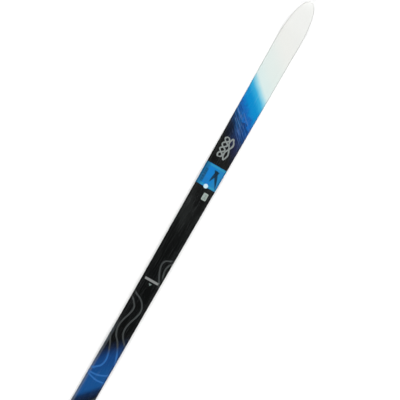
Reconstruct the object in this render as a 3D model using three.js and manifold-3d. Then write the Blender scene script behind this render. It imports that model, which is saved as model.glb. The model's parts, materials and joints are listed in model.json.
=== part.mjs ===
// A cross country touring ski, 1.5 m long, in sandwich construction with a cap: a grooved running base, glass
// laminates, a laminated wooden core with air channels, plastic sidewalls and spacers, a printed top sheet.
// Millimetres. +X runs towards the tip, +Y to the skier's left, +Z up. The origin is on the ground under the
// middle of the ski's length. Unloaded, it stands on two short running faces and arches between them.
import * as THREE from "three";
import { mergeVertices } from "three/addons/utils/BufferGeometryUtils.js";
import Module from "manifold-3d";

// ---- Driving dimensions ----

// Plan view
const length = 1500;
const shovelHalf = 30;
const waistHalf = 25;
const tailHalf = 27.5;
const tipX = length / 2;
const tailX = -length / 2;
const waistX = -120;
const noseLength = 126;
const nosePower = 2.8;
const tailRound = 20;
const tailPower = 3;
const tailWideX = tailX + 60;
const sidecutPower = 1.4;
const bluntNose = 0.6;
const bluntTail = 1.2;

// Side view. The balance line is where the toe of a binding goes.
const balanceX = -28;
const camber = 18;
const archHalf = 590;
const runningFace = 40;
const tipRise = 48;
const tipCurve = 2.1;
const tailRise = 5;
const tailCurve = 2;
const endThickness = 7;
const midThickness = 22;
const taperFront = 640;
const taperRear = 650;

// Cross-section
const glue = 0.1;
const baseThickness = 1.6;
const laminate = 0.8;
const topSheet = 0.7;
const edgeHeight = 3.2;
const edgeShare = 0.35;
const endBevel = 2;
const midBevel = 5.5;
const bevelShare = 0.3;
const sidewall = 3;
// The narrowest flat that may be left beside a bend of a section.
const narrowFlat = 0.3;

// Guide groove in the running base
const grooveMouth = 4.5;
const grooveFloor = 3;
const grooveDepth = 1.8;
const grooveSpread = 0.5;
// At the round tip the groove's mouth and floor stay within these shares of the half-width.
const grooveMouthShare = 0.7;
const grooveFloorShare = 0.5;
const grooveFrontX = 596;
const grooveRearX = -696;
const grooveRunOut = 50;

// Core
const coreFrontX = 600;
const coreRearX = -700;
const centreStringer = 6;
const stringerWidth = 5.5;
const channelWidth = 2.8;
const channelLength = 84;
const channelBridge = 36;
const channelMargin = 60;
const joint = 0.2;

// Mounting plate under the top laminate, where binding screws bite
const plateFrontX = balanceX + 70;
const plateRearX = balanceX - 220;
const plateThickness = 1.2;
const plateRamp = 8;
const plateInset = 0.4;

// Climbing skin strips in pockets of the base
const skinFrontX = balanceX + 250;
const skinRearX = balanceX - 150;
const skinY = 14.5;
const skinHalf = 7;
const skinPile = 0.95;
const skinStandsOut = 0.25;
const skinAdhesive = 0.2;
const pocketDepth = 1;
const pocketClearance = 0.25;

// A round end begins this share of its radius wide.
const roundStart = 0.25;

// Tail protector
const protectorX = tailX + 15;
const tongueX = tailX + 35;
const tongueInset = 5;

// Labels on the top sheet
const film = 0.25;
const filmGap = 0.05;
const bandRearX = 234;
const bandFrontX = 292.4;
const sealX = 236.2;
const sealY = 0;
const sealRadius = 5.7;
const codeRearX = 202.8;
const codeFrontX = 221.2;
const codeY = -10.9;
const codeHalf = 6.2;

// ---- Stations: every surface is ruled between these places along the ski, which keeps layers parallel ----

const noseSteps = [0, 0.7, 2, 4, 7, 11, 16, 23, 32, 44, 60, 80, 104, 126, 148];
const tailSteps = [0, 2, 5.5, 10, 15, 25, 35, 50, 70, 92];
const middleStep = 47.5;
const firstMiddle = 20;

function stationList() {
  const middle = [];
  for (let d = firstMiddle; d <= archHalf; d += middleStep) middle.push(balanceX - d, balanceX + d);
  const ends = [...noseSteps.map((d) => tipX - d), ...tailSteps.map((d) => tailX + d)];
  return [...ends, ...middle].sort((a, b) => a - b);
}
const stations = stationList();

// The same function, but straight between stations.
function ruled(f) {
  const values = stations.map(f);
  return (x) => {
    const next = Math.max(1, stations.findIndex((s) => s >= x - 1e-9));
    const share = (x - stations[next - 1]) / (stations[next] - stations[next - 1]);
    return values[next - 1] + (values[next] - values[next - 1]) * share;
  };
}

// The stations from one place to another, with both ends and any extra places between them.
function between(rear, front, extra = []) {
  const inside = [...stations, ...extra].filter((x) => x > rear + 0.05 && x < front - 0.05);
  return [rear, ...inside, front].sort((a, b) => a - b);
}

// Places along a round-ended strip, close together where it curves.
function roundStations(rear, front, radius) {
  const turns = [0.25, 0.5, 0.75, 1].map((share) => radius * (1 - Math.cos((share * Math.PI) / 2)));
  return between(rear, front, [...turns.map((d) => rear + d), ...turns.map((d) => front - d)]);
}

// ---- Profiles along the ski ----

function roundEnd(distance, reach, power) {
  return Math.sqrt(1 - Math.max(1 - distance / reach, 0) ** power);
}

const halfWidth = ruled((x) => {
  const wide = x > waistX ? shovelHalf : tailHalf;
  const reach = x > waistX ? tipX - noseLength - waistX : waistX - tailWideX;
  const share = Math.min(Math.abs(x - waistX) / reach, 1);
  const sidecut = waistHalf + (wide - waistHalf) * share ** sidecutPower;
  const nose = roundEnd(tipX - x + bluntNose, noseLength, nosePower);
  const tail = roundEnd(x - tailX + bluntTail, tailRound, tailPower);
  return sidecut * nose * tail;
});

const baseHeight = ruled((x) => {
  const away = Math.abs(x - balanceX);
  if (away < archHalf) return (camber * (1 + Math.cos((Math.PI * away) / archHalf))) / 2;
  const front = x > balanceX;
  const start = archHalf + runningFace;
  const end = front ? tipX - balanceX : balanceX - tailX;
  const share = Math.max(away - start, 0) / (end - start);
  return front ? tipRise * share ** tipCurve : tailRise * share ** tailCurve;
});

// 1 at the balance line, 0 where the ski is thinnest.
const fullness = ruled((x) => {
  const share = Math.min(Math.abs(x - balanceX) / (x > balanceX ? taperFront : taperRear), 1);
  return Math.cos((share * Math.PI) / 2) ** 2;
});

const thickness = (x) => endThickness + (midThickness - endThickness) * fullness(x);
const topHeight = (x) => baseHeight(x) + thickness(x);
const sideTop = (x) => baseHeight(x) + edgeHeight + edgeShare * (midThickness - endThickness) * fullness(x);
const coreBottom = (x) => baseHeight(x) + baseThickness + laminate + 2 * glue;
const bevel = (x) => Math.min(endBevel + (midBevel - endBevel) * fullness(x), bevelShare * halfWidth(x));
const coreDepth = topSheet + laminate + 2 * glue;

const groove = ruled((x) => {
  const share = Math.min(grooveFrontX - x, x - grooveRearX) / grooveRunOut;
  return grooveDepth * Math.min(Math.max(share, 0), 1);
});

// How far the core's top drops to seat the mounting plate.
function plateSeat(x) {
  const share = Math.min(plateFrontX - x, x - plateRearX) / plateRamp + 1;
  return (plateThickness + glue) * Math.min(Math.max(share, 0), 1);
}

// ---- Cross-sections ----

// A cross-section is two rows of [y, z] from right to left, one above the other: [under, over].

// The cap's outer surface sunk by a depth: how far out it starts at the side, and where its flat top begins.
function capFoot(x, depth) {
  const rise = topHeight(x) - sideTop(x);
  return halfWidth(x) - (depth * Math.hypot(rise, bevel(x))) / rise;
}

function capShoulder(x, depth, seat = 0) {
  const rise = topHeight(x) - sideTop(x);
  return capFoot(x, depth) - bevel(x) * (1 - (depth + seat) / rise);
}

function capHeight(x, y, depth, seat = 0) {
  const rise = topHeight(x) - sideTop(x);
  const flank = sideTop(x) + ((capFoot(x, depth) - y) * rise) / bevel(x);
  return Math.min(topHeight(x) - depth - seat, flank);
}

// The whole row, from its left half listed from the edge inwards.
function bothSides(half) {
  return [...half.map(([y, z]) => [-y, z]), ...half.slice().reverse()];
}

function mirror([under, over]) {
  return [under, over].map((row) => row.map(([y, z]) => [-y, z]).reverse());
}

// A shell that follows the cap's flanks and top, between two depths.
function capShell(x, outer, inner) {
  const row = (depth) =>
    bothSides([
      [capFoot(x, depth), sideTop(x) + glue],
      [capShoulder(x, depth), topHeight(x) - depth],
    ]);
  return [row(inner), row(outer)];
}

// A flat layer that rises over the guide groove, between two heights above the ski's underside.
function groovedLayer(x, bottom, top) {
  const edge = halfWidth(x);
  const row = (above) => {
    const low = baseHeight(x) + above;
    return bothSides([
      [edge, low],
      [Math.min(grooveMouth + grooveSpread * above, grooveMouthShare * edge), low],
      [Math.min(grooveFloor + grooveSpread * above, grooveFloorShare * edge), low + groove(x)],
    ]);
  };
  return [row(bottom), row(top)];
}

// Columns of [y, bottom, top].
function columns(list) {
  return [list.map(([y, low]) => [y, low]), list.map(([y, , high]) => [y, high])];
}

const plank = (right, left, low, high) => columns([[right, low, high], [left, low, high]]);

// A spacer fills the sandwich: full width between base laminate and cap edge, then narrower inside the cap.
function spacerSection(x) {
  const low = coreBottom(x);
  const half = [
    [halfWidth(x), low, sideTop(x)],
    [capFoot(x, coreDepth), low, sideTop(x)],
    [capShoulder(x, coreDepth), low, topHeight(x) - coreDepth],
  ];
  return columns([...half.map(([y, ...heights]) => [-y, ...heights]), ...half.slice().reverse()]);
}

function sidewallSection(x) {
  const low = coreBottom(x);
  const inside = halfWidth(x) - sidewall;
  const bend = Math.max(capShoulder(x, coreDepth), inside + narrowFlat);
  return columns([
    [inside, low, capHeight(x, inside, coreDepth)],
    [bend, low, capHeight(x, bend, coreDepth)],
    [capFoot(x, coreDepth), low, sideTop(x)],
    [halfWidth(x), low, sideTop(x)],
  ]);
}

// A stringer of the core from one place across the ski to another. Its outer top corner follows the cap.
function stringerSection(x, inner, outer) {
  const low = coreBottom(x);
  const seat = plateSeat(x);
  const bend = Math.min(Math.max(capShoulder(x, coreDepth, seat), inner + narrowFlat), outer - narrowFlat);
  return columns([inner, bend, outer].map((y) => [y, low, capHeight(x, y, coreDepth, seat)]));
}

// The middle stringer rides over the groove.
function middleStringerSection(x) {
  const high = topHeight(x) - coreDepth - plateSeat(x);
  return plank(-centreStringer, centreStringer, coreBottom(x) + groove(x), high);
}

// ---- Solids ----

// Joins one cross-section to the next along the ski and closes both ends. Each entry is { x, section }. Upper
// and lower faces are split along the same diagonals, so that touching layers stay parallel where they twist.
function loft(entries) {
  const rings = entries.map(({ x, section: [under, over] }) =>
    [...under, ...over.slice().reverse()].map(([y, z]) => [x, y, z]),
  );
  const count = rings[0].length;
  const faces = [];
  for (let i = 0; i + 1 < rings.length; i++) {
    for (let j = 0; j < count; j++) {
      const a = i * count + j;
      const b = i * count + ((j + 1) % count);
      const [c, d] = [a + count, b + count];
      faces.push(...(j < count / 2 ? [a, b, c, b, d, c] : [a, b, d, a, d, c]));
    }
  }
  const last = (rings.length - 1) * count;
  for (let j = 0; j + 1 < count / 2; j++) {
    const above = count - 1 - j;
    faces.push(j, above, j + 1, j + 1, above, above - 1);
    faces.push(last + j, last + j + 1, last + above, last + j + 1, last + above - 1, last + above);
  }
  return new THREE.BufferGeometry()
    .setAttribute("position", new THREE.Float32BufferAttribute(rings.flat(2), 3))
    .setIndex(faces)
    .toNonIndexed();
}

const along = (places, sectionAt) => loft(places.map((x) => ({ x, section: sectionAt(x) })));
const sided = (side, section) => (side > 0 ? section : mirror(section));

const wasm = await Module();
wasm.setup();

function toSolid(geometry) {
  const merged = mergeVertices(geometry.clone().deleteAttribute("normal").deleteAttribute("uv"));
  return new wasm.Manifold(
    new wasm.Mesh({
      numProp: 3,
      vertProperties: merged.attributes.position.array,
      triVerts: new Uint32Array(merged.index.array),
    }),
  );
}

function cut(geometry, cutters) {
  const solid = cutters.reduce((left, cutter) => left.subtract(toSolid(cutter)), toSolid(geometry));
  const mesh = solid.getMesh();
  return new THREE.BufferGeometry()
    .setAttribute("position", new THREE.Float32BufferAttribute(mesh.vertProperties, 3))
    .setIndex(new THREE.BufferAttribute(mesh.triVerts, 1))
    .toNonIndexed();
}

// A strip with round ends beside the groove, between two heights above the ski's underside.
function skinStrip(side, grow, bottom, top) {
  const rear = skinRearX - grow;
  const front = skinFrontX + grow;
  const radius = skinHalf + grow;
  return along(roundStations(rear, front, radius), (x) => {
    const past = Math.min(x - rear, front - x, radius);
    const half = Math.max(Math.sqrt(radius ** 2 - (radius - past) ** 2), roundStart * radius);
    return sided(side, plank(skinY - half, skinY + half, baseHeight(x) + bottom, baseHeight(x) + top));
  });
}

function runningBase() {
  const blank = along(between(protectorX + glue, tipX), (x) => groovedLayer(x, 0, baseThickness));
  return cut(
    blank,
    [1, -1].map((side) => skinStrip(side, pocketClearance, -1, pocketDepth)),
  );
}

// Slots through a stringer's height, in a row along its middle line. The stagger shifts them by a share of
// the distance from one to the next.
function airChannels(middleY, stagger) {
  const pitch = channelLength + channelBridge;
  const slots = [];
  const lastX = coreFrontX - channelMargin - channelLength;
  for (let x = coreRearX + channelMargin + stagger * pitch; x <= lastX; x += pitch) {
    const slot = new THREE.BoxGeometry(channelLength, channelWidth, 4 * midThickness);
    slots.push(slot.translate(x + channelLength / 2, middleY, midThickness));
  }
  return slots;
}

function corePlaces() {
  const ramps = [plateRearX - plateRamp, plateRearX, plateFrontX, plateFrontX + plateRamp];
  return between(coreRearX, coreFrontX, ramps);
}

function stringer(side, inner, outer, stagger) {
  const bar = along(corePlaces(), (x) => sided(side, stringerSection(x, inner, outer)));
  return cut(bar, airChannels((side * (inner + outer)) / 2, stagger));
}

function outerStringer(side, inner) {
  return along(corePlaces(), (x) => sided(side, stringerSection(x, inner, halfWidth(x) - sidewall - glue)));
}

function mountingPlate() {
  const places = between(plateRearX + glue, plateFrontX - glue);
  return along(places, (x) => {
    const half = capShoulder(x, coreDepth) - plateInset;
    const high = topHeight(x) - coreDepth;
    return plank(-half, half, high - plateThickness, high);
  });
}

// The block behind the layers, with a tongue that goes between the laminates.
function tailProtector() {
  const block = (x) => {
    const low = baseHeight(x);
    const side = [halfWidth(x), low, sideTop(x)];
    const shoulder = [capShoulder(x, 0), low, topHeight(x)];
    return columns([[-side[0], ...side.slice(1)], [-shoulder[0], ...shoulder.slice(1)], shoulder, side]);
  };
  const tongue = (x) => {
    const half = halfWidth(x) - tongueInset;
    const high = topHeight(x) - coreDepth;
    return columns([-1, -0.5, 0.5, 1].map((share) => [share * half, coreBottom(x), high]));
  };
  return loft([
    ...between(tailX, protectorX).map((x) => ({ x, section: block(x) })),
    ...between(protectorX, tongueX - glue).map((x) => ({ x, section: tongue(x) })),
  ]);
}

function flatLabel(places, half, middleY, lift) {
  return along(places, (x) => {
    const low = topHeight(x) + lift;
    return plank(middleY - half(x), middleY + half(x), low, low + film);
  });
}

function roundSeal() {
  const places = roundStations(sealX - sealRadius, sealX + sealRadius, sealRadius);
  const chord = (x) => Math.sqrt(Math.max(sealRadius ** 2 - (x - sealX) ** 2, 0));
  return flatLabel(places, (x) => Math.max(chord(x), roundStart * sealRadius), sealY, film + 2 * filmGap);
}

// ---- The assembly ----

const ski = new THREE.Group();
ski.name = "cross_country_ski";

const materials = {
  basePlastic: new THREE.MeshStandardMaterial({ color: 0x17181a, roughness: 0.45, metalness: 0 }),
  glassLaminate: new THREE.MeshStandardMaterial({ color: 0xc3c9ad, roughness: 0.4, metalness: 0 }),
  lightWood: new THREE.MeshStandardMaterial({ color: 0xd2b083, roughness: 0.7, metalness: 0 }),
  hardWood: new THREE.MeshStandardMaterial({ color: 0xb48250, roughness: 0.65, metalness: 0 }),
  edgePlastic: new THREE.MeshStandardMaterial({ color: 0x101112, roughness: 0.5, metalness: 0 }),
  spacerPlastic: new THREE.MeshStandardMaterial({ color: 0xdfe3e0, roughness: 0.5, metalness: 0 }),
  plateLaminate: new THREE.MeshStandardMaterial({ color: 0x8a7a4c, roughness: 0.5, metalness: 0 }),
  topPrint: new THREE.MeshStandardMaterial({ color: 0x15191b, roughness: 0.25, metalness: 0 }),
  mohair: new THREE.MeshStandardMaterial({ color: 0xd9d3c4, roughness: 0.95, metalness: 0 }),
  adhesive: new THREE.MeshStandardMaterial({ color: 0xb9a46a, roughness: 0.6, metalness: 0 }),
  bandFilm: new THREE.MeshStandardMaterial({ color: 0x148cc8, roughness: 0.3, metalness: 0 }),
  paper: new THREE.MeshStandardMaterial({ color: 0xe8eeec, roughness: 0.6, metalness: 0 }),
};

function add(name, geometry, material) {
  geometry.computeVertexNormals();
  const mesh = new THREE.Mesh(geometry, material);
  mesh.name = name;
  ski.add(mesh);
}

// Running surface
const rearCut = protectorX + glue;
add("running_base", runningBase(), materials.basePlastic);
for (const [side, word] of [[1, "left"], [-1, "right"]]) {
  const roof = pocketDepth - glue / 2;
  add(`skin_adhesive_${word}`, skinStrip(side, 0, roof - skinAdhesive, roof), materials.adhesive);
  add(`skin_strip_${word}`, skinStrip(side, 0, -skinStandsOut, skinPile - skinStandsOut), materials.mohair);
}

// Sandwich
const underLaminate = baseThickness + glue;
add(
  "lower_laminate",
  along(between(rearCut, tipX), (x) => groovedLayer(x, underLaminate, underLaminate + laminate)),
  materials.glassLaminate,
);
for (const [side, word] of [[1, "left"], [-1, "right"]]) {
  const section = (x) => sided(side, sidewallSection(x));
  add(`sidewall_${word}`, along(between(coreRearX, coreFrontX), section), materials.edgePlastic);
}
add("tip_spacer", along(between(coreFrontX + joint, tipX), spacerSection), materials.spacerPlastic);
add("tail_spacer", along(between(tongueX, coreRearX - joint), spacerSection), materials.spacerPlastic);

// Core: a middle stringer over the groove, two on each side, and an outer one that follows the sidecut
const middleBar = along(corePlaces(), middleStringerSection);
add("core_stringer_middle", cut(middleBar, airChannels(0, 0)), materials.lightWood);
const firstEdge = centreStringer + glue;
const secondEdge = firstEdge + stringerWidth;
const thirdEdge = secondEdge + glue + stringerWidth;
for (const [side, word] of [[1, "left"], [-1, "right"]]) {
  add(`core_stringer_${word}_inner`, stringer(side, firstEdge, secondEdge, 0.5), materials.hardWood);
  add(`core_stringer_${word}_second`, stringer(side, secondEdge + glue, thirdEdge, 0), materials.lightWood);
  add(`core_stringer_${word}_outer`, outerStringer(side, thirdEdge + glue), materials.hardWood);
}

add("mounting_plate", mountingPlate(), materials.plateLaminate);
add(
  "upper_laminate",
  along(between(rearCut, tipX), (x) => capShell(x, topSheet + glue, topSheet + glue + laminate)),
  materials.glassLaminate,
);
add("top_sheet", along(between(rearCut, tipX), (x) => capShell(x, 0, topSheet)), materials.topPrint);
add("tail_protector", tailProtector(), materials.edgePlastic);

// Labels
add(
  "label_band",
  along(between(bandRearX, bandFrontX), (x) => capShell(x, -filmGap - film, -filmGap)),
  materials.bandFilm,
);
add("round_seal", roundSeal(), materials.paper);
add("code_label", flatLabel(between(codeRearX, codeFrontX), () => codeHalf, codeY, filmGap), materials.paper);

export default ski;
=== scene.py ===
import json
import math

import bmesh
import bpy
import numpy as np
from mathutils import Matrix, Vector


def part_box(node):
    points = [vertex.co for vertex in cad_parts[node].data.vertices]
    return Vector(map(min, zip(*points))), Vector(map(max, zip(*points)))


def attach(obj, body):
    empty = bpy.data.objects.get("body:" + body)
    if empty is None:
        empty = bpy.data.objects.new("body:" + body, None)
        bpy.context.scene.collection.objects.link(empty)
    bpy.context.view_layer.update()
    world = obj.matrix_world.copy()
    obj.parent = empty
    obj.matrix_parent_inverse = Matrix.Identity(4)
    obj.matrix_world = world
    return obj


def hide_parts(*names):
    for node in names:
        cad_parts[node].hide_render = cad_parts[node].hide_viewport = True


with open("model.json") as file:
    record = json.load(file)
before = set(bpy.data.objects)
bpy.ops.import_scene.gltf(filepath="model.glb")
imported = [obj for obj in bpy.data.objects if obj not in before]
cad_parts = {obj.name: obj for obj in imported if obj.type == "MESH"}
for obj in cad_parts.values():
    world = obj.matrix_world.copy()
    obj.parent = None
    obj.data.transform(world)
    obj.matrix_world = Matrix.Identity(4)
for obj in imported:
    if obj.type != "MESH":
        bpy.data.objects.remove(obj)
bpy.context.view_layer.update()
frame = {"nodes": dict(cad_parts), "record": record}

MM = 0.001

# ---- Driving dimensions, in mm ----

base_thickness = 1.6
laminate_low, laminate_high = 1.62, 2.56
sandwich_low = 2.6
upper_glass_depth = 0.82, 1.58
upper_glass_inset = 1.6
core_depth = 1.7
top_sheet_thickness = 0.7
cap_foot, top_sheet_foot, laminate_foot = 0.12, 0.04, 0.1
groove_floor_half, groove_mouth_half = 2.8, 4.6
groove_spread, wide_groove_spread = 0.8, 1.2
pocket_depth = 1.0
pocket_clearance = 0.25
base_edge_radius = 0.45
skin_drop, skin_thickness = 0.25, 0.95
pile_drop, pile_rim, pile_rim_lift = 0.2, 0.8, 0.45
shoulder_softness, full_softness_slope = 1.7, 2.4
least_bevel = 2.0
label_gap, film_thickness = 0.05, 0.15
nose_fade, tail_fade = 8.0, 4.0
nose_length, nose_steps = 126, 42
tail_length, tail_steps = 22, 18

# ---- Meshes, light, camera and floor, in metres and radians unless the name says otherwise ----

crease_angle = math.radians(32)
merge_distance = 2e-7

# How much brighter than its own colour a level surface looks.
studio_light = 1.41
lamp_strength, fill_strength = 14, 0.02

# What the camera sees across the picture at the ski.
picture_width = 0.971
lens_mm, sensor_mm = 300.0, 36.0
camera_tilt = math.radians(2.0)
ski_lean = math.radians(29.78)
# Where the middle of the picture is, from the tip: along the ski towards the tail, and to its right.
picture_behind_tip = 0.550
picture_to_right = 0.0048
aim_height = 0.022

floor_reach, floor_gap = 14.0, 0.0002


# ---- Profiles read from the frame ----

def points_of(node):
    mesh = frame["nodes"][node].data
    flat = np.empty(3 * len(mesh.vertices))
    mesh.vertices.foreach_get("co", flat)
    return flat.reshape(-1, 3) / MM


def spline(xs, values):
    """A natural cubic spline through points, as a function."""
    step = np.diff(xs)
    slope = np.diff(values) / step
    size = len(xs)
    system = np.eye(size)
    right = np.zeros(size)
    for k in range(1, size - 1):
        system[k, k - 1 : k + 2] = step[k - 1], 2 * (step[k - 1] + step[k]), step[k]
        right[k] = 6 * (slope[k] - slope[k - 1])
    bend = np.linalg.solve(system, right)

    def at(x):
        k = np.clip(np.searchsorted(xs, x) - 1, 0, size - 2)
        ahead, behind, gap = xs[k + 1] - x, x - xs[k], step[k]
        curved = (bend[k] * ahead**3 + bend[k + 1] * behind**3) / (6 * gap)
        start = (values[k] / gap - bend[k] * gap / 6) * ahead
        return curved + start + (values[k + 1] / gap - bend[k + 1] * gap / 6) * behind

    return at


def read_profiles():
    """Smooth curves along the ski for what the layers' cross-sections measure."""
    same_station, same_place, groove_margin = 0.06, 0.02, 0.25
    cap, sole, block = (points_of(node) for node in ("top_sheet", "running_base", "tail_protector"))
    joint = cap[:, 0].min()
    block = block[block[:, 0] < joint]
    rows = []
    for x in np.unique(np.round(np.concatenate([block[:, 0], cap[cap[:, 0] > joint + 1, 0]]), 1)):
        in_block = x < joint
        upper, lower = ((block if in_block else part) for part in (cap, sole))
        upper = upper[abs(upper[:, 0] - x) < same_station]
        lower = lower[abs(lower[:, 0] - x) < same_station]
        edge = abs(upper[:, 1]).max()
        top = upper[:, 2].max()
        shoulder = abs(upper[upper[:, 2] > top - same_place, 1]).max()
        at_edge = upper[abs(upper[:, 1]) > edge - same_place, 2]
        side = at_edge.max() if in_block else at_edge.min()
        below = lower[:, 2].min()
        in_groove = abs(lower[:, 1]) < groove_floor_half + groove_margin
        depth = 0 if in_block else lower[in_groove, 2].min() - below
        rows.append((x, edge**2, below, side, top, edge - shoulder, depth))
    stations, *columns = np.array(rows).T
    return stations, [spline(stations, column) for column in columns]


stations, profiles = read_profiles()
edge_squared, base_curve, side_curve, top_curve, bevel_curve, groove_curve = profiles
tail_x, tip_x = stations[0], stations[-1]
protector_front = points_of("top_sheet")[:, 0].min()


def outline_squared(x):
    """The half-width squared. It closes to nothing at both ends, so nose and tail are round."""
    nose = edge_squared(tip_x) * np.exp((x - tip_x) / nose_fade)
    tail = edge_squared(tail_x) * np.exp((tail_x - x) / tail_fade)
    return np.maximum(edge_squared(x) - nose - tail, 0)


def half_width(x):
    return np.sqrt(outline_squared(x))


def inset(x, y):
    """The distance from a point of the plan to the outline, inwards."""
    small = 0.01
    slope = (outline_squared(x + small / 2) - outline_squared(x - small / 2)) / small
    inside = np.maximum(outline_squared(x) - y**2, 0)
    steep = np.hypot(slope, 2 * y) / 2
    return inside / (steep + np.sqrt(steep**2 + inside) + 1e-9)


def base_height(x):
    return np.maximum(base_curve(x), 0)


def bevel(x):
    """How wide the sloping flank is, in the plan."""
    return np.maximum(bevel_curve(x), least_bevel)


def flank_reach(x):
    """The flank's width, or less where the ski is too narrow for it."""
    return np.minimum(bevel(x), half_width(x) * 0.6)


def groove(x, y, spread=0.0):
    """How far the guide groove lifts a layer, at a point of the plan."""
    reach = (abs(y) - groove_floor_half - spread) / (groove_mouth_half - groove_floor_half)
    share = np.clip(1 - reach, 0, 1)
    return np.maximum(groove_curve(x), 0) * share**2 * (3 - 2 * share)


def cap(x, y, depth=0.0, foot=cap_foot):
    """The height of the cap's surface, sunk by a depth. Its shoulder is round, and it ends in a low foot."""
    rise = top_curve(x) - side_curve(x)
    slope = rise / bevel(x)
    flank = slope * inset(x, y) - depth * np.hypot(1, slope)
    flat = rise - depth
    soft = shoulder_softness * np.minimum(slope / full_softness_slope, 1)
    share = np.clip(0.5 + 0.5 * (flat - flank) / soft, 0, 1)
    height = flank * share + flat * (1 - share) - soft * share * (1 - share)
    return side_curve(x) + np.maximum(height, foot)


def under_cap(x, y):
    """The top of what fills the sandwich, at its sides."""
    return cap(x, y, core_depth) - cap_foot


# ---- Meshes ----

def places(rear, front, step=6.0):
    """Stations from rear to front, closer together towards the round ends of the ski."""
    nose = tip_x - nose_length * (np.arange(nose_steps + 1) / nose_steps) ** 2
    tail = tail_x + tail_length * (np.arange(tail_steps + 1) / tail_steps) ** 2
    middle = np.arange(tail_x + tail_length + 2, tip_x - nose_length - 1, step)
    every = np.concatenate([nose, tail, middle])
    least_step = 0.02
    inside = every[(every > rear + least_step) & (every < front - least_step)]
    return np.unique(np.concatenate([[rear], inside, [front]]))


def mirrored(columns):
    """Places from right to left across the ski, from those of the left half, edge first."""
    return np.stack([-column for column in columns] + [0 * columns[0]] + columns[::-1], axis=-1)


def edge_columns(x, shares, inner):
    """Places across the ski: at shares of the bevel in from both edges, and evenly between."""
    wide = half_width(x)
    reach = flank_reach(x)
    near = [wide - reach * share for share in shares]
    middle = [near[-1] * (1 - k / inner) for k in range(1, inner)]
    return mirrored(near + middle)


# How far a sidewall's columns are in from the edge.
sidewall_gaps = (3, 2.4, 1.9, 1.4, 0.25, 0.08, 0)
# Shares of half the width for the lower laminate, and of the flank's width for pieces with the cap's shape.
laminate_shares = (1, 0.985, 0.6, 0.25, 0.19, 0.14, 0.1, 0.05)
cap_shares = (0, 0.03, 0.08, 0.18, 0.32, 0.48, 0.62, 0.74, 0.82, 0.88, 0.94, 1, 1.06, 1.12, 1.2, 1.32, 1.5)


def mesh_object(name, points, faces, material):
    """A piece of the ski. Its edges are smooth unless they turn by more than the crease angle."""
    mesh = bpy.data.meshes.new(name)
    mesh.from_pydata([tuple(p) for p in points], [], faces)
    shape = bmesh.new()
    shape.from_mesh(mesh)
    bmesh.ops.remove_doubles(shape, verts=shape.verts, dist=merge_distance)
    bmesh.ops.dissolve_degenerate(shape, edges=shape.edges, dist=merge_distance)
    bmesh.ops.recalc_face_normals(shape, faces=shape.faces)
    for edge in shape.edges:
        edge.smooth = len(edge.link_faces) == 2 and edge.calc_face_angle(0) < crease_angle
    for face in shape.faces:
        face.smooth = True
    shape.to_mesh(mesh)
    shape.free()
    mesh.materials.append(material)
    made = bpy.data.objects.new(name, mesh)
    bpy.context.collection.objects.link(made)
    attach(made, "root")
    return made


def slab(name, xs, across, under, over, material):
    """A closed solid over part of the plan. across gives its places from right to left at each station;
    under and over give its lower and upper heights."""
    y = across(xs)
    x = np.repeat(xs[:, None], y.shape[1], axis=1)
    low = under(x, y)
    high = np.maximum(over(x, y), low)
    rows, count = y.shape
    points = np.concatenate([np.stack([x, y, z], axis=-1).reshape(-1, 3) for z in (low, high)]) * MM
    above = rows * count
    faces = []
    for i in range(rows - 1):
        for j in range(count - 1):
            a, b = i * count + j, i * count + j + 1
            faces.append((a, b, b + count, a + count))
            faces.append((a + above, a + count + above, b + count + above, b + above))
    rim = list(range(count))
    rim += [i * count + count - 1 for i in range(1, rows)]
    rim += [(rows - 1) * count + j for j in range(count - 2, -1, -1)]
    rim += [i * count for i in range(rows - 2, 0, -1)]
    for a, b in zip(rim, rim[1:] + rim[:1]):
        faces.append((a, a + above, b + above, b))
    return mesh_object(name, points, faces, material)


# ---- Node arithmetic ----

class Signal:
    """A number that a material works out, for use in ordinary arithmetic."""

    def __init__(self, tree, socket):
        self.tree = tree
        self.socket = socket

    def math(self, operation, *inputs):
        node = self.tree.nodes.new("ShaderNodeMath")
        node.operation = operation
        for slot, value in zip(node.inputs, inputs):
            feed(self.tree, slot, value)
        return Signal(self.tree, node.outputs[0])

    def __add__(self, other):
        return self.math("ADD", self, other)

    def __sub__(self, other):
        return self.math("SUBTRACT", self, other)

    def __rsub__(self, other):
        return self.math("SUBTRACT", other, self)

    def __mul__(self, other):
        return self.math("MULTIPLY", self, other)

    def __truediv__(self, other):
        return self.math("DIVIDE", self, other)

    __radd__ = __add__
    __rmul__ = __mul__

    def __abs__(self):
        return self.math("ABSOLUTE", self)

    def __pow__(self, power):
        return self.math("POWER", self, power)

    def sine(self):
        return self.math("SINE", self)

    def cosine(self):
        return self.math("COSINE", self)

    def least(self, other):
        return self.math("MINIMUM", self, other)

    def most(self, other):
        return self.math("MAXIMUM", self, other)

    def remainder(self, size):
        return self.math("FLOORED_MODULO", self, size)

    def floor(self):
        return self.math("FLOOR", self)

    def rise(self, start, end):
        """0 below start, 1 above end, smooth between."""
        node = self.tree.nodes.new("ShaderNodeMapRange")
        node.interpolation_type = "SMOOTHSTEP"
        feed(self.tree, node.inputs["Value"], self)
        node.inputs["From Min"].default_value = start
        node.inputs["From Max"].default_value = end
        return Signal(self.tree, node.outputs[0])

    def fall(self, start, end):
        return 1 - self.rise(start, end)

    def within(self, low, high, soft=0.3):
        return self.rise(low - soft, low + soft) * self.fall(high - soft, high + soft)


def feed(tree, socket, value):
    if isinstance(value, Signal):
        tree.links.new(value.socket, socket)
    else:
        socket.default_value = value


def srgb(red, green, blue):
    """A colour as it looks in the studio's light, 0 to 255, turned into the shader's own."""
    screen = (red / 255, green / 255, blue / 255)
    linear = [c / 12.92 if c < 0.04045 else ((c + 0.055) / 1.055) ** 2.4 for c in screen]
    return (*(value / studio_light for value in linear), 1.0)


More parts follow.
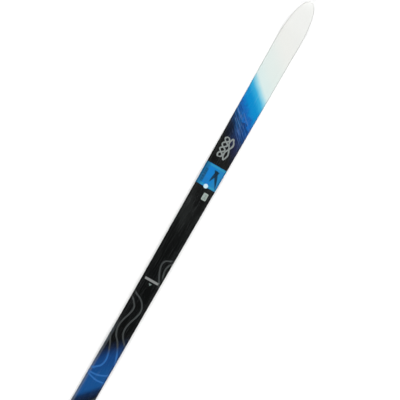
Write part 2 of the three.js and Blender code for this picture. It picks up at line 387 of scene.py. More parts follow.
class Finish:
    """A material under construction: a Principled shader, and colours laid over one another. Its settings
    are named after the shader's sockets, and its coordinates are in mm."""

    def __init__(self, name, colour, roughness, **settings):
        self.material = bpy.data.materials.new(name)
        self.material.use_nodes = True
        self.tree = self.material.node_tree
        self.shader = self.tree.nodes["Principled BSDF"]
        self.colour = colour
        self.shader.inputs["Roughness"].default_value = roughness
        for key, value in settings.items():
            self.shader.inputs[key.replace("_", " ").title()].default_value = value
        place = self.tree.nodes.new("ShaderNodeTexCoord")
        scale = self.tree.nodes.new("ShaderNodeVectorMath")
        scale.operation = "SCALE"
        scale.inputs["Scale"].default_value = 1 / MM
        self.tree.links.new(place.outputs["Object"], scale.inputs[0])
        split = self.tree.nodes.new("ShaderNodeSeparateXYZ")
        self.tree.links.new(scale.outputs[0], split.inputs[0])
        self.x, self.y, self.z = (Signal(self.tree, split.outputs[k]) for k in range(3))

    def vector(self, x, y, z):
        node = self.tree.nodes.new("ShaderNodeCombineXYZ")
        for slot, value in zip(node.inputs, (x, y, z)):
            feed(self.tree, slot, value)
        return node.outputs[0]

    def noise(self, scales, detail=2.0, roughness=0.5, shift=0.0, coordinates=None):
        """Noise with features of the given sizes, in mm, along each coordinate."""
        node = self.tree.nodes.new("ShaderNodeTexNoise")
        node.inputs["Scale"].default_value = 1.0
        node.inputs["Detail"].default_value = detail
        node.inputs["Roughness"].default_value = roughness
        axes = coordinates or (self.x, self.y, self.z)
        place = self.vector(*(axis / size + shift for axis, size in zip(axes, scales)))
        self.tree.links.new(place, node.inputs["Vector"])
        return Signal(self.tree, node.outputs["Fac"])

    def lay(self, colour, mask):
        """Lays a colour over what is there."""
        node = self.tree.nodes.new("ShaderNodeMix")
        node.data_type = "RGBA"
        feed(self.tree, node.inputs["Factor"], mask)
        sockets = [s for s in node.inputs if s.type == "RGBA"]
        for socket, value in zip(sockets, (self.colour, colour)):
            if isinstance(value, bpy.types.NodeSocket):
                self.tree.links.new(value, socket)
            else:
                socket.default_value = value
        self.colour = next(s for s in node.outputs if s.type == "RGBA")

    def roughness(self, signal):
        feed(self.tree, self.shader.inputs["Roughness"], signal)

    def done(self, height=None, distance=0.0001, strength=1.0):
        """Connects the colour, and a height as bump. distance is what a height of 1 is, in metres."""
        if isinstance(self.colour, bpy.types.NodeSocket):
            self.tree.links.new(self.colour, self.shader.inputs["Base Color"])
        else:
            self.shader.inputs["Base Color"].default_value = self.colour
        if height is not None:
            bump = self.tree.nodes.new("ShaderNodeBump")
            bump.inputs["Distance"].default_value = distance
            bump.inputs["Strength"].default_value = strength
            self.tree.links.new(height.socket, bump.inputs["Height"])
            self.tree.links.new(bump.outputs["Normal"], self.shader.inputs["Normal"])
        return self.material


def curve_through(finish, value, points):
    """A smooth function of value that passes through the points."""
    xs, ys = zip(*points)
    low, high = min(xs), max(xs)
    bottom, top = min(ys), max(ys)
    node = finish.tree.nodes.new("ShaderNodeFloatCurve")
    line = node.mapping.curves[0]
    while len(line.points) < len(points):
        line.points.new(0.5, 0.5)
    for point, (x, y) in zip(line.points, points):
        point.location = ((x - low) / (high - low), (y - bottom) / (top - bottom))
        point.handle_type = "AUTO"
    node.mapping.update()
    feed(finish.tree, node.inputs["Value"], (value - low) / (high - low))
    return Signal(finish.tree, node.outputs[0]) * (top - bottom) + bottom


# ---- Top sheet print ----

black = srgb(9, 11, 11)
line_grey = srgb(68, 72, 72)
line_blue = srgb(50, 110, 180)
silver = srgb(141, 148, 146)
line_width = 4.0

# Contour lines, as points in mm (behind the tip, across).
front_lines = [
    [(709, -30), (716, -14), (723, -3.8), (730, -1.6), (745, -4), (760, -10.5), (774, -18), (794, -28)],
    [(715, -30), (722, -21), (730, -17), (738, -15.4), (752, -17.8), (762, -22), (772, -29)],
]
middle_lines = [
    [(814, 31), (822, 17.5), (835, -4), (845, -10.8), (856, -14), (874, -10.8), (893, -4.8), (912, -2),
     (924, -4), (942, -16), (957, -30)],
    [(828, 31), (835, 21), (845, 11.5), (858, 5), (874, 7.6), (893, 13.4), (911, 16.2), (926, 13.4),
     (951, -3.4), (976, -16), (1010, -27)],
    [(926, 31), (951, 17), (971, 8), (990, 2.2), (1001, 1), (1012, 3), (1024, 12.5), (1030, 21), (1033, 31)],
]
rear_lines = [
    [(1090, -31), (1101, -20), (1116, -9), (1136, -3), (1160, -6), (1180, -14), (1197, -23), (1208, -31)],
    [(1112, -31), (1124, -22), (1138, -16.5), (1154, -18), (1168, -24), (1178, -31)],
    [(1166, 31), (1178, 20), (1196, 9), (1220, 3), (1246, 6), (1268, 14), (1288, 12), (1308, 1), (1326, -12),
     (1348, -22), (1366, -31)],
    [(1190, 31), (1202, 23), (1218, 17), (1238, 18), (1258, 24), (1272, 31)],
    [(1300, 31), (1316, 20), (1338, 9), (1362, -1), (1384, -12), (1400, -22), (1412, -31)],
]
# Lines that go from side to side, as points in mm (across, behind the tip).
crossing_lines = [
    [(-30, 1026), (-12, 1037), (0, 1041.4), (14, 1043.2), (30, 1042)],
    [(-30, 1050), (-14, 1053.6), (-5, 1054.4), (8, 1052.4), (30, 1044)],
]
tail_crossing_lines = [
    [(-30, 1436), (-16, 1441), (0, 1444), (14, 1443), (30, 1438)],
    [(-30, 1452), (-14, 1456), (4, 1458), (18, 1456), (30, 1451)],
]


def contour(finish, run, across, points):
    """A printed line of even width. The slope thins the gap between it and a point beside it."""
    step = 1.5
    here = curve_through(finish, run, points)
    ahead = curve_through(finish, run + step, points)
    tilt = (ahead - here) / step
    gap = abs(across - here) / (1 + tilt * tilt) ** 0.5
    return gap.fall(line_width * 0.32, line_width * 0.72) * run.within(points[0][0], points[-1][0], 0.5)


def braid(run, across, start, end, centre, swing, wave, width):
    """Two brushed strokes that weave through each other."""
    turn = 2 * math.pi / wave
    phase = (run - start) * turn
    lean = phase.cosine() * (swing * turn)
    stretch = (1 + lean * lean) ** 0.5
    first = abs(across - centre - phase.sine() * swing) / stretch
    second = abs(across - centre + phase.sine() * swing) / stretch
    return first.least(second).fall(width * 0.4, width * 0.62) * run.within(start, end, 0.6)


def fade_stages(finish, run, stages):
    """Colours that follow one another. Each stage is (colour, where it starts, where it is full)."""
    for colour, start, full in stages:
        finish.lay(colour, run.rise(start, full))


def paint_front(finish, diagonal):
    """A pale tip that turns to cyan, then to blue."""
    fade_stages(finish, diagonal, [
        (srgb(241, 242, 238), 40, 130),
        (srgb(231, 241, 237), 120, 190),
        (srgb(222, 240, 238), 190, 236),
        (srgb(150, 216, 234), 232, 250),
        (srgb(52, 174, 222), 245, 263),
        (srgb(0, 142, 208), 258, 284),
        (srgb(0, 132, 202), 284, 304),
    ])
    ragged = diagonal + (finish.noise((13, 9, 30), detail=4, roughness=0.6, shift=3.1) - 0.5) * 30
    fade_stages(finish, ragged, [
        (srgb(14, 102, 182), 303, 312),
        (srgb(18, 84, 156), 318, 330),
        (srgb(16, 64, 124), 334, 350),
        (srgb(14, 40, 80), 352, 372),
    ])


def paint_streaks(finish, behind, across, diagonal):
    """Brushed streaks and patches that lie on a slant across the blue."""
    slanted = ((behind - across) * 0.707, (behind + across) * 0.707, finish.z)
    streaks = finish.noise((44, 3.2, 40), detail=2, shift=7.7, coordinates=slanted)
    fine = finish.noise((30, 1.3, 40), detail=1, shift=1.3, coordinates=slanted)
    zone = diagonal.rise(306, 330) * diagonal.fall(344, 396)
    finish.lay(srgb(14, 40, 84), streaks.fall(0.40, 0.48) * zone * 0.75)
    finish.lay(srgb(64, 108, 172), streaks.rise(0.54, 0.62) * zone * 0.7)
    finish.lay(srgb(16, 100, 146), streaks.within(0.46, 0.55, 0.02) * zone * across.rise(-8, 6) * 0.6)
    finish.lay(srgb(120, 152, 200), fine.rise(0.60, 0.68) * zone * 0.6)
    patches = finish.noise((13, 9, 30), detail=3, roughness=0.6, shift=5.5)
    crest = diagonal.within(300, 336, 6)
    finish.lay(srgb(20, 106, 192), patches.rise(0.51, 0.58) * crest * 0.8)
    finish.lay(srgb(12, 80, 160), patches.fall(0.38, 0.46) * crest * 0.7)


def paint_middle(finish, behind, across, wobble):
    """The black middle, entered on a slant, with faint grey clouds."""
    slant = behind + across * 1.15 + wobble * 16
    finish.lay(srgb(14, 24, 44), slant.rise(346, 376) * across.rise(-4, 16) * 0.9)
    finish.lay(srgb(34, 38, 74), slant.rise(352, 386) * across.fall(-8, 12) * 0.85)
    finish.lay(black, slant.rise(366, 420))
    cloud = finish.noise((60, 26, 60), detail=3, shift=9.0)
    finish.lay(srgb(40, 43, 42), cloud.rise(0.45, 0.65) * behind.within(420, 640, 40) * 0.5)


def paint_rear(finish, behind, across, wobble, diagonal):
    """Blue past the middle, black again, a painted sheen along the left shoulder, and a tail that mirrors
    the tip. Returns where the blue is.
    """
    blue_start = behind - across + wobble * 14
    fade_stages(finish, blue_start, [
        (srgb(20, 36, 66), 940, 972),
        (srgb(20, 68, 128), 958, 1002),
        (srgb(22, 80, 142), 1000, 1050),
    ])
    blue_end = behind - across * 1.1 + wobble * 12
    fade_stages(finish, blue_end, [
        (srgb(14, 44, 84), 1078, 1100),
        (srgb(17, 21, 27), 1086, 1130),
    ])
    fade_stages(finish, diagonal + wobble * 10, [
        (srgb(20, 52, 104), 1330, 1372),
        (srgb(16, 96, 168), 1368, 1402),
        (srgb(10, 138, 204), 1400, 1440),
        (srgb(120, 200, 226), 1446, 1470),
        (srgb(232, 240, 238), 1466, 1490),
    ])
    # Painted sheen: a pale grey haze along the left shoulder, as if light caught it there.
    left_painted_sheen = across.rise(17, 25) * behind.rise(880, 950) * behind.fall(1120, 1160)
    finish.lay(srgb(134, 146, 156), left_painted_sheen * 0.45)
    return blue_start.rise(960, 1000) * blue_end.fall(1080, 1110)


def paint_lines(finish, behind, across, blue_part):
    """Thin contour lines: grey on the black, light blue on the blue."""
    along = [contour(finish, behind, across, points) for points in front_lines + middle_lines + rear_lines]
    sideways = [contour(finish, across, behind, points) for points in crossing_lines + tail_crossing_lines]
    lines = along[0]
    for line in along[1:] + sideways:
        lines = lines.most(line)
    finish.lay(line_grey, lines * (1 - blue_part) * behind.fall(1330, 1360) * 0.9)
    finish.lay(line_blue, lines * blue_part * 0.85)
    finish.lay(srgb(120, 190, 230), lines * behind.rise(1330, 1380) * 0.6)
    return lines


def paint_ornament(finish, behind, across, wobble, grain):
    """A silver ornament of two braids side by side, brushed dry."""
    unsteady = across + wobble * 9
    left = braid(behind + wobble * 8, unsteady, 382, 437, centre=9.6, swing=5.9, wave=27.5, width=3.5)
    right = braid(behind + wobble * 6, unsteady, 380, 439, centre=-3.8, swing=5.2, wave=59, width=3.6)
    ornament = left.most(right)
    finish.lay(silver, ornament * grain.rise(0.2, 0.42))
    finish.lay(srgb(170, 178, 180), ornament * grain.rise(0.5, 0.7) * 0.5)
    return ornament


def paint_binding_mark(finish, behind, across, grain):
    """The mark for the binding: a bar across the ski and a small triangle behind it."""
    bar = behind.within(775.2, 781.2, 0.35) * across.within(-17.8, 18, 0.35)
    past_bar = behind - 785.5
    triangle = (abs(across + 0.8) + past_bar * 0.75).fall(4.3, 4.9) * past_bar.rise(0, 0.6)
    finish.lay(srgb(140, 143, 142), bar * grain.rise(0.1, 0.35) * 0.95)
    finish.lay(srgb(118, 132, 128), triangle * grain.rise(0.1, 0.35) * 0.9)
    return bar


def top_print():
    """The glossy print of the top sheet, from the tip to the tail."""
    finish = Finish("printed_top_sheet", srgb(242, 243, 240), 0.2, coat_weight=0.3, coat_roughness=0.1)
    behind = tip_x - finish.x
    across = finish.y
    wobble = finish.noise((26, 20, 60), detail=3) - 0.5
    diagonal = behind + across * 0.93 + wobble * 7
    paint_front(finish, diagonal)
    paint_streaks(finish, behind, across, diagonal)
    paint_middle(finish, behind, across, wobble)
    blue_part = paint_rear(finish, behind, across, wobble, diagonal)
    lines = paint_lines(finish, behind, across, blue_part)
    grain = finish.noise((5, 0.5, 20), detail=2, shift=2.2)
    ornament = paint_ornament(finish, behind, across, wobble, grain)
    bar = paint_binding_mark(finish, behind, across, grain)

    # Fine scratches, and a surface like orange peel
    scratch = finish.noise((60, 0.35, 20), detail=0, shift=4.4).rise(0.70, 0.74)
    finish.lay(srgb(120, 128, 132), scratch * 0.10)
    peel = finish.noise((1.6, 1.6, 1.6), detail=1)
    swell = finish.noise((24, 16, 24), detail=1, shift=6.1)
    finish.roughness(0.16 + swell * 0.06 + scratch * 0.15 + (1 - grain) * 0.03)
    height = peel * 0.25 + swell * 0.8 + ornament * 0.5 + lines * 0.25 + bar * 0.5
    return finish.done(height, distance=0.00008, strength=0.6)


# ---- Other materials ----

glass_pitch = 1.6
cloth_turn = 4.2


def plain_weave(finish, turn):
    """Crossing threads, 0 to 1. turn is the angle that a thread's wave turns through in 1 mm."""
    return (finish.x * turn).sine() * (finish.y * turn).sine() * 0.5 + 0.5


def base_plastic():
    """Sintered black running base, with the fine lines that grinding leaves."""
    finish = Finish("sintered_base", srgb(30, 31, 33), 0.4)
    grind = finish.noise((90, 0.35, 30), detail=3, roughness=0.7)
    speck = finish.noise((0.7, 0.7, 0.7), detail=2, shift=2.0)
    cloud = finish.noise((70, 22, 40), detail=3, shift=5.0)
    finish.lay(srgb(46, 48, 51), grind.rise(0.5, 0.72) * 0.7)
    finish.lay(srgb(16, 17, 19), cloud.rise(0.45, 0.7) * 0.6)
    finish.lay(srgb(86, 88, 92), speck.rise(0.70, 0.76) * 0.5)
    finish.roughness(0.3 + grind * 0.22)
    return finish.done(grind * 0.8 + speck * 0.2, distance=0.00006, strength=0.8)


def edge_plastic():
    """Black sidewall, planed along the ski."""
    finish = Finish("sidewall_plastic", srgb(20, 21, 22), 0.42)
    planed = finish.noise((70, 0.3, 0.25), detail=2)
    cloud = finish.noise((40, 10, 6), detail=2, shift=3.0)
    finish.lay(srgb(44, 46, 48), planed.rise(0.55, 0.75) * 0.5)
    finish.lay(srgb(12, 13, 14), cloud.rise(0.5, 0.7) * 0.5)
    finish.roughness(0.36 + planed * 0.2)
    return finish.done(planed, distance=0.00005, strength=0.7)


def spacer_plastic():
    """Pale plastic of the tip and tail, a little uneven and scuffed."""
    finish = Finish("spacer_plastic", srgb(222, 226, 222), 0.45)
    cloud = finish.noise((18, 8, 6), detail=3)
    planed = finish.noise((40, 0.4, 0.3), detail=2, shift=3.0)
    finish.lay(srgb(200, 206, 204), cloud.rise(0.45, 0.7) * 0.6)
    finish.lay(srgb(168, 174, 174), planed.rise(0.62, 0.76) * 0.4)
    finish.roughness(0.4 + planed * 0.15)
    return finish.done(planed, distance=0.00004, strength=0.6)


def glass_laminate():
    """Woven glass in clear resin: a plain weave under a faintly green gloss."""
    finish = Finish("glass_laminate", srgb(176, 186, 142), 0.32, coat_weight=0.4, coat_roughness=0.15)
    weave = plain_weave(finish, 2 * math.pi / glass_pitch)
    cloud = finish.noise((22, 14, 14), detail=2)
    finish.lay(srgb(204, 210, 172), weave.rise(0.35, 0.75) * 0.7)
    finish.lay(srgb(140, 152, 104), cloud.rise(0.5, 0.7) * 0.45)
    finish.roughness(0.28 + weave * 0.1)
    return finish.done(weave, distance=0.00008, strength=0.7)


def wood(name, early, late, ring):
    """Straight-grained wood, sawn along the grain, with pores and a few darker rings."""
    finish = Finish(name, early, 0.62)
    bend = finish.noise((160, 14, 14), detail=2) * 6
    rings = ((finish.y * 0.9 + finish.z * 0.5 + bend) * (2 * math.pi / ring)).sine() * 0.5 + 0.5
    fibre = finish.noise((26, 0.35, 0.35), detail=3, roughness=0.6, shift=4.0)
    pores = finish.noise((7, 0.22, 0.22), detail=1, shift=8.0)
    finish.lay(late, rings.rise(0.35, 0.95) * 0.6)
    finish.lay(late, fibre.rise(0.48, 0.72) * 0.5)
    finish.lay(srgb(74, 48, 26), pores.rise(0.66, 0.74) * 0.45)
    finish.roughness(0.55 + fibre * 0.2)
    return finish.done(fibre * 0.6 + pores * 0.4, distance=0.0001, strength=0.7)


def plate_laminate():
    """Mounting plate of resin-bonded cloth: brown, with a close weave."""
    finish = Finish("plate_laminate", srgb(150, 132, 78), 0.5)
    weave = plain_weave(finish, cloth_turn)
    cloud = finish.noise((20, 12, 12), detail=3)
    finish.lay(srgb(112, 94, 50), weave.rise(0.4, 0.8) * 0.6)
    finish.lay(srgb(178, 160, 104), cloud.rise(0.5, 0.7) * 0.4)
    finish.roughness(0.42 + weave * 0.14)
    return finish.done(weave, distance=0.0001, strength=0.6)


def mohair():
    """Climbing skin: short dense pile that all lies towards the tail."""
    finish = Finish("mohair_pile", srgb(214, 205, 186), 0.92, sheen_weight=0.35, sheen_roughness=0.5)
    hair = finish.noise((2.6, 0.16, 0.5), detail=3, roughness=0.65)
    tuft = finish.noise((1.8, 0.9, 1.0), detail=2, shift=4.0)
    nap = finish.noise((26, 5, 10), detail=2, shift=9.0)
    finish.lay(srgb(168, 156, 134), hair.fall(0.34, 0.52) * 0.8)
    finish.lay(srgb(236, 230, 216), hair.rise(0.56, 0.72) * 0.7)
    finish.lay(srgb(186, 174, 150), nap.rise(0.46, 0.68) * 0.55)
    return finish.done(hair * 0.7 + tuft * 0.6, distance=0.0004, strength=1.0)


def adhesive():
    """Amber glue film with faint flow marks."""
    finish = Finish("skin_adhesive", srgb(186, 160, 96), 0.35)
    flow = finish.noise((12, 5, 4), detail=3)
    finish.lay(srgb(150, 122, 62), flow.rise(0.42, 0.68) * 0.7)
    finish.roughness(0.28 + flow * 0.2)
    return finish.done(flow, distance=0.00008, strength=0.6)


def band_film():
    """Blue film round the cap: lighter borders, two dark brush strokes, a row of blocks on the left, painted
    shade on the left side and a painted sheen on the right side.
    """
    finish = Finish("band_film", srgb(2, 128, 200), 0.24, coat_weight=0.3, coat_roughness=0.1)
    low, high = tip_x - band_front, tip_x - band_rear
    behind = tip_x - finish.x
    across = finish.y
    cloud = finish.noise((22, 14, 20), detail=3)
    finish.lay(srgb(8, 126, 206), (across + cloud * 14).rise(0, 12) * 0.8)
    finish.lay(srgb(16, 112, 172), cloud.rise(0.5, 0.7) * 0.4)
    # Painted sheen: the right side paler and greyer, as if lit from the right.
    finish.lay(srgb(40, 132, 180), (across + cloud * 10).fall(-8, 0) * 0.5)
    for border in (low + 3.4, high - 3.6):
        finish.lay(srgb(46, 152, 184), abs(behind - border).fall(1.4, 3.4) * 0.8)

    # Two crossed brush strokes, each thickest at its front end
    for start, end, aside, lean in ((11, 55, 4.5, -0.44), (12, 44, 9.5, 0.27)):
        run = behind - low - start
        offset = across + aside - run * lean
        taper = 1 - (run / (end - start)) ** 2
        stroke = (abs(offset) - taper * 4.8).fall(-0.8, 0.6) * run.within(0, end - start, 0.8)
        finish.lay(srgb(2, 40, 60), stroke * 0.93)

    # Painted shade: the left side darker, as if less light fell on the left flank; and a printed row of
    # blocks
    finish.lay(srgb(8, 98, 138), across.rise(12, 20) * 0.75)
    row = across.within(14.2, 21.4, 0.6)
    row_start, row_end, block_pitch = low + 16, low + 50, 6.8
    block = (behind - low).remainder(block_pitch).within(0.6, 5.4, 0.5)
    blocks = block * behind.within(row_start, row_end, 0.5)
    finish.lay(srgb(6, 94, 136), row * behind.within(row_start, row_end, 1.5) * 0.7)
    finish.lay(srgb(4, 70, 112), row * blocks * 0.7)
    peel = finish.noise((1.6, 1.6, 1.6), detail=1, shift=2.0)
    finish.roughness(0.2 + cloud * 0.1)
    return finish.done(peel * 0.4 + blocks * row * 0.4, distance=0.00006, strength=0.6)


def seal_paper():
    """White coated paper with a printed ring."""
    finish = Finish("seal_paper", srgb(198, 232, 246), 0.4)
    low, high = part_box("round_seal")
    centre = [(a + b) / 2 / MM for a, b in zip(low, high)]
    reach = ((finish.x - centre[0]) ** 2 + (finish.y - centre[1]) ** 2) ** 0.5
    fibre = finish.noise((0.8, 0.5, 0.8), detail=3)
    finish.lay(srgb(196, 216, 226), reach.within(4.4, 5.0, 0.15) * 0.7)
    finish.lay(srgb(214, 228, 234), reach.fall(2.0, 2.4) * 0.6)
    finish.lay(srgb(224, 230, 230), fibre.rise(0.5, 0.7) * 0.5)
    finish.roughness(0.36 + fibre * 0.12)
    return finish.done(fibre, distance=0.00003, strength=0.6)


def code_paper():
    """Pale label with a plain checker of small squares that says nothing."""
    finish = Finish("code_paper", srgb(156, 170, 163), 0.5)
    low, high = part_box("code_label")
    start = [value / MM for value in low]
    length, width = ((b - a) / MM for a, b in zip(low[:2], high[:2]))
    cell, margin = 1.25, 1.8
    column = ((finish.x - start[0]) / cell).floor()
    row = ((finish.y - start[1]) / cell).floor()
    node = finish.tree.nodes.new("ShaderNodeTexWhiteNoise")
    node.noise_dimensions = "2D"
    finish.tree.links.new(finish.vector(column, row, 0.0), node.inputs["Vector"])
    dark = Signal(finish.tree, node.outputs["Value"]).rise(0.52, 0.54)
    inside = (finish.x - start[0]).within(margin, length - margin, 0.05)
    inside = inside * (finish.y - start[1]).within(margin, width - margin, 0.05)
    fibre = finish.noise((0.8, 0.5, 0.8), detail=3)
    finish.lay(srgb(92, 106, 100), dark * inside * 0.85)
    finish.lay(srgb(176, 188, 182), fibre.rise(0.5, 0.7) * 0.4)
    finish.roughness(0.45 + fibre * 0.12)
    return finish.done(fibre, distance=0.00003, strength=0.6)


# ---- Pieces ----

def across_all(shares, inner):
    return lambda xs: edge_columns(xs, shares, inner)


def span(node):
    """The ends of a node along the ski, in mm."""
    low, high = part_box(node)
    return low[0] / MM, high[0] / MM


def breadth(node):
    """A node's middle across the ski and half its width, in mm."""
    low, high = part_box(node)
    return (low[1] + high[1]) / 2 / MM, (high[1] - low[1]) / 2 / MM


def turns(radius, steps):
    """Distances from the end of a round, at even angles of its quarter turn."""
    return [radius * (1 - math.cos(k * math.pi / (2 * steps))) for k in range(steps + 1)]


def stations_between(rear, front, radius, steps, step):
    """Stations of a strip with round ends: close together on the ends, even between."""
    ends = [[rear + turn, front - turn] for turn in turns(radius, steps)]
    xs = np.concatenate([np.arange(rear + radius, front - radius, step)] + ends)
    return np.unique(np.round(xs, 3))


# Shares of half a width, closer together towards both edges.
round_shares = [math.sin(k * math.pi / 24) for k in range(-12, 13)]


def make_top_sheet(material):
    piece = slab(
        "printed_cap",
        places(protector_front, tip_x, 4.0),
        across_all(cap_shares, 5),
        lambda x, y: cap(x, y, top_sheet_thickness, top_sheet_foot),
        cap,
        material,
    )
    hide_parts("top_sheet")


def base_edge(x, y):
    """How far the underside's rounded rim rises, at a point of the plan."""
    share = np.clip(1 - inset(x, y) / base_edge_radius, 0, 1)
    return base_edge_radius * (1 - np.sqrt(np.maximum(1 - share**2, 0)))


def round_end(past, radius):
    """Half the width of a round end, at a distance past where it starts."""
    return np.sqrt(np.maximum(radius**2 - (radius - past) ** 2, 0))


def strip_half(x, rear, front, radius):
    """Half the width of a strip whose ends are round, but for a short blunt edge."""
    past = np.clip(np.minimum(x - rear, front - x), 0, radius)
    return np.maximum(round_end(past, radius), radius * 0.25)


def make_running_base(material):
    rear, front = span("skin_strip_left")
    centre, strip_radius = breadth("skin_strip_left")
    radius = strip_radius + pocket_clearance
    pocket_rear, pocket_front = rear - pocket_clearance, front + pocket_clearance
    hair = 0.02
    # Where the ski is narrower than this on either side, the groove and pocket columns close up.
    full_half_width = 25

    def across(xs):
        wide = half_width(xs)
        half = strip_half(xs, pocket_rear, pocket_front, radius)
        squeeze = np.minimum(wide / full_half_width, 1)
        walls = (-half - hair, -half + hair, -half / 2, 0 * half, half / 2, half - hair, half + hair)
        mouth = groove_mouth_half * squeeze
        left = [mouth * share for share in (0.3, 0.5, 0.6, 0.67, 0.75, 0.84, 0.93, 1, 1.15)]
        left += [(centre + wall) * squeeze for wall in walls]
        left += [wide - gap * base_edge_radius * squeeze for gap in (2.5, 1, 0.75, 0.5, 0.22, 0.06, 0)]
        return mirrored(left[::-1])

    def under(x, y):
        half = strip_half(x, pocket_rear, pocket_front, radius)
        in_pocket = (abs(abs(y) - centre) < half) & (x > pocket_rear) & (x < pocket_front)
        return base_height(x) + np.where(in_pocket, pocket_depth, groove(x, y)) + base_edge(x, y)

    ends = [end + gap for end in (pocket_rear, pocket_front) for gap in (-hair, hair)]
    rounds = [[pocket_rear + turn, pocket_front - turn] for turn in turns(radius, 10)[1:]]
    xs = np.unique(np.concatenate([places(protector_front, tip_x), ends] + rounds))
    piece = slab(
        "sole",
        xs,
        across,
        under,
        lambda x, y: base_height(x) + base_thickness + groove(x, y, groove_spread),
        material,
    )
    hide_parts("running_base")


def make_lower_laminate(material):
    piece = slab(
        "lower_glass",
        places(protector_front, tip_x),
        lambda xs: mirrored([half_width(xs) * share for share in laminate_shares]),
        lambda x, y: base_height(x) + laminate_low + groove(x, y, groove_spread),
        lambda x, y: base_height(x) + laminate_high + groove(x, y, wide_groove_spread),
        material,
    )
    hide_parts("lower_laminate")


def make_upper_laminate(material):
    outer, inner = upper_glass_depth

    def across(xs):
        edge = half_width(xs)
        start = np.minimum(upper_glass_inset, edge * 0.3)
        reach = flank_reach(xs) * 1.5 - start
        left = [edge - start - reach * k / 10 for k in range(11)]
        return mirrored(left + [left[-1] * (1 - k / 4) for k in range(1, 4)])

    piece = slab(
        "upper_glass",
        places(protector_front, tip_x - upper_glass_inset, 4.0),
        across,
        lambda x, y: cap(x, y, inner, 0.0),
        lambda x, y: cap(x, y, outer, laminate_foot),
        material,
    )
    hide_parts("upper_laminate")


def make_sidewall(word, side, material):
    """A wall that ends under the cap, and just below the cap's foot at its outer rim."""
    rim_inset, rim_drop = 0.2, 0.05

    def across(xs):
        left = [half_width(xs) - gap for gap in sidewall_gaps]
        return np.stack(left if side > 0 else [-column for column in left[::-1]], axis=-1)

    piece = slab(
        f"side_{word}",
        places(*span("sidewall_left")),
        across,
        lambda x, y: base_height(x) + sandwich_low,
        lambda x, y: np.where(inset(x, y) > rim_inset, under_cap(x, y), side_curve(x) - rim_drop),
        material,
    )
    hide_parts(f"sidewall_{word}")


def make_tip_spacer(material):
    rear, _ = span("tip_spacer")
    rim_inset = 0.3
    piece = slab(
        "tip_fill",
        places(rear, tip_x),
        across_all(cap_shares, 4),
        lambda x, y: base_height(x) + sandwich_low,
        lambda x, y: np.where(inset(x, y) > rim_inset, under_cap(x, y), side_curve(x)),
        material,
    )
    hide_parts("tip_spacer")


def make_tail_protector(material):
    piece = slab(
        "tail_cap",
        places(tail_x, protector_front - 0.1, 1.5),
        across_all((0, 0.02, 0.05, 0.1) + cap_shares[3:], 5),
        lambda x, y: base_height(x) + base_edge(x, y),
        cap,
        material,
    )
    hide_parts("tail_protector")


def make_skin_strip(word, material):
    rear, front = span(f"skin_strip_{word}")
    centre, radius = breadth(f"skin_strip_{word}")

    def across(xs):
        half = strip_half(xs, rear, front, radius)
        return np.stack([centre + half * share for share in round_shares], axis=-1)

    def under(x, y):
        """The pile's lower face: rounded up at its rim, and a little wavy."""
        half = strip_half(x, rear, front, radius)
        edge = np.clip(1 - (half - abs(y - centre)) / pile_rim, 0, 1)
        end = np.clip(1 - np.minimum(x - rear, front - x) / pile_rim, 0, 1)
        nap = 0.05 * np.sin(x * 2.1 + 1.7 * np.sin(y * 1.9)) + 0.04 * np.sin(x * 0.63 - y * 2.7)
        return base_height(x) - pile_drop + pile_rim_lift * np.maximum(edge, end) ** 2 + nap

    piece = slab(
        f"skin_{word}",
        stations_between(rear, front, radius, 10, 1.6),
        across,
        under,
        lambda x, y: base_height(x) - skin_drop + skin_thickness,
        material,
    )
    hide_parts(f"skin_strip_{word}")


def make_band(material):
    clear_of_cap, steep_lift = 1.004, 1.8

    def film(x, y, lift):
        """The cap's surface, lifted. The lift is upwards, so it is more on the steep flanks."""
        return cap(x, y) + lift * np.where(inset(x, y) < bevel(x), steep_lift, 1)

    piece = slab(
        "blue_band",
        places(band_rear, band_front, 2.0),
        lambda xs: edge_columns(xs, cap_shares, 5) * clear_of_cap,
        lambda x, y: film(x, y, label_gap),
        lambda x, y: film(x, y, label_gap + film_thickness),
        material,
    )
    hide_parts("label_band")


def rounded_patch(name, node, radius, lift, thick, material):
    """A flat label with round corners, lying on the top."""
    rear, front = span(node)
    centre, half = breadth(node)
    rim_width = 0.25
    hair = 0.01

    def outline(x):
        past = np.clip(np.minimum(x - rear, front - x), 0, radius)
        return past, half - radius + round_end(past, radius)

    def across(xs):
        wide = outline(xs)[1] + hair
        return np.stack([centre + wide * share for share in round_shares], axis=-1)

    def over(x, y):
        past, wide = outline(x)
        rim = np.clip(1 - np.minimum(wide - abs(y - centre), past + 2 * hair) / rim_width, 0, 1)
        return top_curve(x) + lift + thick * (1 - 0.5 * rim**2)

    piece = slab(
        name,
        stations_between(rear, front, radius, 16, 1.5),
        across,
        lambda x, y: top_curve(x) + lift,
        over,
        material,
    )
    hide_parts(node)


band_rear, band_front = span("label_band")
finishes = {
    "base_plastic": base_plastic(),
    "glass_laminate": glass_laminate(),
    "light_wood": wood("paulownia_wood", srgb(214, 184, 138), srgb(186, 150, 102), 3.2),
    "hard_wood": wood("beech_wood", srgb(186, 140, 92), srgb(150, 104, 62), 2.2),
    "edge_plastic": edge_plastic(),
    "spacer_plastic": spacer_plastic(),
    "plate_laminate": plate_laminate(),
    "top_print": top_print(),
    "mohair": mohair(),
    "adhesive": adhesive(),
    "band_film": band_film(),
}

for entry in frame["record"]["subparts"]:
    if entry["material_slot"] in finishes:
        node = frame["nodes"][entry["node"]]
        node.data.materials.clear()
        node.data.materials.append(finishes[entry["material_slot"]])

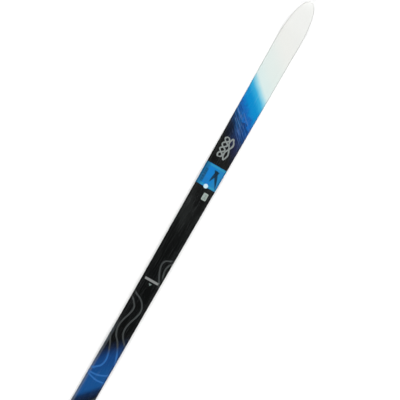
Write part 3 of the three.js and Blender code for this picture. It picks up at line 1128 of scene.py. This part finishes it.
make_top_sheet(finishes["top_print"])
make_running_base(finishes["base_plastic"])
make_lower_laminate(finishes["glass_laminate"])
make_upper_laminate(finishes["glass_laminate"])
make_sidewall("left", 1, finishes["edge_plastic"])
make_sidewall("right", -1, finishes["edge_plastic"])
make_tip_spacer(finishes["spacer_plastic"])
make_tail_protector(finishes["edge_plastic"])
make_skin_strip("left", finishes["mohair"])
make_skin_strip("right", finishes["mohair"])
make_band(finishes["band_film"])
rounded_patch(
    "white_seal", "round_seal", radius=5.69, lift=0.24, thick=0.15, material=seal_paper()
)
rounded_patch(
    "pale_label", "code_label", radius=1.6, lift=0.03, thick=0.16, material=code_paper()
)


# ---- Camera, light and floor ----

def make_camera():
    """Looks straight down but for a small tilt, and is turned so that the ski leans in the picture."""
    toward = Vector((0, math.sin(camera_tilt), math.cos(camera_tilt)))
    along = Vector((1, 0, 0))
    left = toward.cross(along)
    right = math.sin(ski_lean) * along - math.cos(ski_lean) * left
    up = math.cos(ski_lean) * along + math.sin(ski_lean) * left
    target = Vector((tip_x * MM - picture_behind_tip, 0, aim_height)) - picture_to_right * left
    data = bpy.data.cameras.new("camera")
    data.lens = lens_mm
    data.sensor_width = sensor_mm
    distance = picture_width * lens_mm / sensor_mm
    made = bpy.data.objects.new("camera", data)
    turn = Matrix((right, up, toward)).transposed().to_4x4()
    made.matrix_world = Matrix.Translation(target + toward * distance) @ turn
    bpy.context.collection.objects.link(made)
    bpy.context.scene.camera = made


def make_floor():
    finish = Finish("pale_floor", (0.86, 0.86, 0.86, 1.0), 0.7)
    cloud = finish.noise((400, 400, 400), detail=2)
    finish.lay((0.84, 0.845, 0.845, 1.0), cloud.rise(0.4, 0.7) * 0.5)
    mesh = bpy.data.meshes.new("floor")
    corners = [(a * floor_reach, b * floor_reach, 0) for a, b in ((-1, -1), (1, -1), (1, 1), (-1, 1))]
    mesh.from_pydata(corners, [], [(0, 1, 2, 3)])
    mesh.materials.append(finish.done())
    floor = bpy.data.objects.new("floor", mesh)
    floor.location.z = -floor_gap
    bpy.context.collection.objects.link(floor)
    floor.visible_glossy = False


def make_world():
    """A soft light high beyond the tip, a low one beyond the tail, and a pale wall all round. The shadows
    fall along the ski, and overhead is dark, so that dark print stays dark from above."""
    world = bpy.data.worlds.new("studio")
    world.use_nodes = True
    bpy.context.scene.world = world
    tree = world.node_tree
    place = tree.nodes.new("ShaderNodeTexCoord")
    split = tree.nodes.new("ShaderNodeSeparateXYZ")
    tree.links.new(place.outputs["Generated"], split.inputs[0])
    forward, side, height = (Signal(tree, split.outputs[k]) for k in range(3))
    aside = abs(side)
    overhead = height.fall(0.82, 0.92)
    wall = height.rise(-0.16, -0.1) * (0.4 + height.fall(0.2, 0.5) * 0.65) * overhead
    front_lamp = height.rise(0.42, 0.56) * overhead * forward.rise(0, 0.1) * aside.fall(0.1, 0.35)
    low = height.rise(0.1, 0.2) * height.fall(0.36, 0.46)
    rear_lamp = low * forward.fall(-0.1, 0) * aside.fall(0.2, 0.5)
    background = tree.nodes["Background"]
    background.inputs["Color"].default_value = (1, 1, 1, 1)
    light = wall + (front_lamp + rear_lamp) * lamp_strength + fill_strength
    feed(tree, background.inputs["Strength"], light)


make_camera()
make_floor()
make_world()
bpy.context.scene.view_settings.view_transform = "Standard"
